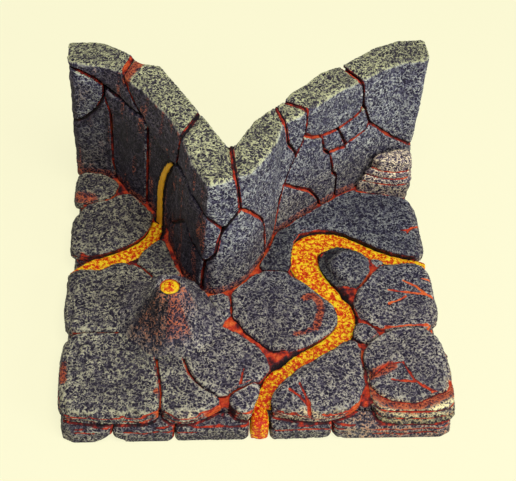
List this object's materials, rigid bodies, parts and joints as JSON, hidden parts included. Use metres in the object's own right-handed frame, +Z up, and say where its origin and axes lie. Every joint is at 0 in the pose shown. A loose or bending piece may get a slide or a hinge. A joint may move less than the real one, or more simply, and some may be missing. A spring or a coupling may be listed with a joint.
{
  "type": "lava cavern ornament",
  "caption": "Square rock ornament with flat floor stones, a V of stacked wall stones, a small volcanic cone and painted lava streams, standing on a flat underside.",
  "frame": {"origin": "middle of the whole part's box, on the table under it", "axes": "+X to the right of the front view, +Y to the back where the V of the wall opens, +Z up"},
  "size_m": [0.1532, 0.154, 0.074],
  "materials": {
    "bed": "cast resin painted purple-black, with red paint in the deep joints",
    "stone_foot": "cast resin painted dark slate, dry-brushed pale grey, with red in the joints",
    "stone_floor": "cast resin, wormy rock texture painted dark slate and dry-brushed pale green-grey",
    "stone_wall": "cast resin, wormy rock texture painted dark slate, with pale olive-grey tops and rims",
    "stone_layer": "cast resin layers painted pale grey with orange-red lines between them",
    "cone": "cast resin painted dark slate with a red-brown flank",
    "lava": "cast resin painted bright yellow-orange, mottled orange-red in its hollows"
  },
  "bodies": {
    "root": {"base_plinth": "bed", "footing_left_back": "stone_foot", "footing_left_front": "stone_foot", "footing_corner_left": "stone_foot", "footing_front_left": "stone_foot", "footing_front_mid": "stone_foot", "footing_front_right": "stone_foot", "footing_corner_right": "stone_foot", "footing_right_front": "stone_foot", "footing_right_back": "stone_foot", "slab_left": "stone_floor", "slab_front_left": "stone_floor", "slab_front_triangle": "stone_floor", "slab_front_centre": "stone_floor", "slab_front_wedge": "stone_floor", "slab_nose_front": "stone_floor", "slab_nose_left": "stone_floor", "slab_back_left": "stone_floor", "slab_back_left_corner": "stone_floor", "slab_centre": "stone_floor", "slab_wall_foot": "stone_floor", "slab_back_right": "stone_floor", "slab_right": "stone_floor", "slab_right_wedge": "stone_floor", "slab_front_mid_right": "stone_floor", "strata_low": "stone_layer", "strata_mid": "stone_layer", "strata_high": "stone_layer", "slab_front_right": "stone_floor", "round_stone": "stone_floor", "pebble": "stone_floor", "volcano_cone": "cone", "lava_vent": "lava", "lava_stream_main": "lava", "lava_fall_front": "lava", "lava_stream_left": "lava", "lava_trickle_wall": "lava", "wall_left_cap_end": "stone_wall", "wall_left_cap_mid": "stone_wall", "wall_left_cap_nose": "stone_wall", "wall_left_end_small": "stone_wall", "wall_left_end_low": "stone_wall", "wall_left_corner": "stone_wall", "wall_left_hollow": "stone_wall", "wall_left_face": "stone_wall", "wall_left_low": "stone_wall", "nose_stone": "stone_wall", "wall_right_face": "stone_wall", "wall_right_wedge": "stone_wall", "wall_right_cap_mid": "stone_wall", "wall_right_cap_end": "stone_wall", "wall_right_mid": "stone_wall", "wall_right_foot": "stone_wall", "wall_right_small_left": "stone_wall", "wall_right_small_right": "stone_wall", "wall_right_low": "stone_wall", "ledge_low": "stone_layer", "ledge_mid": "stone_layer", "ledge_high": "stone_layer", "ledge_top": "stone_layer"}
  },
  "joints": []
}
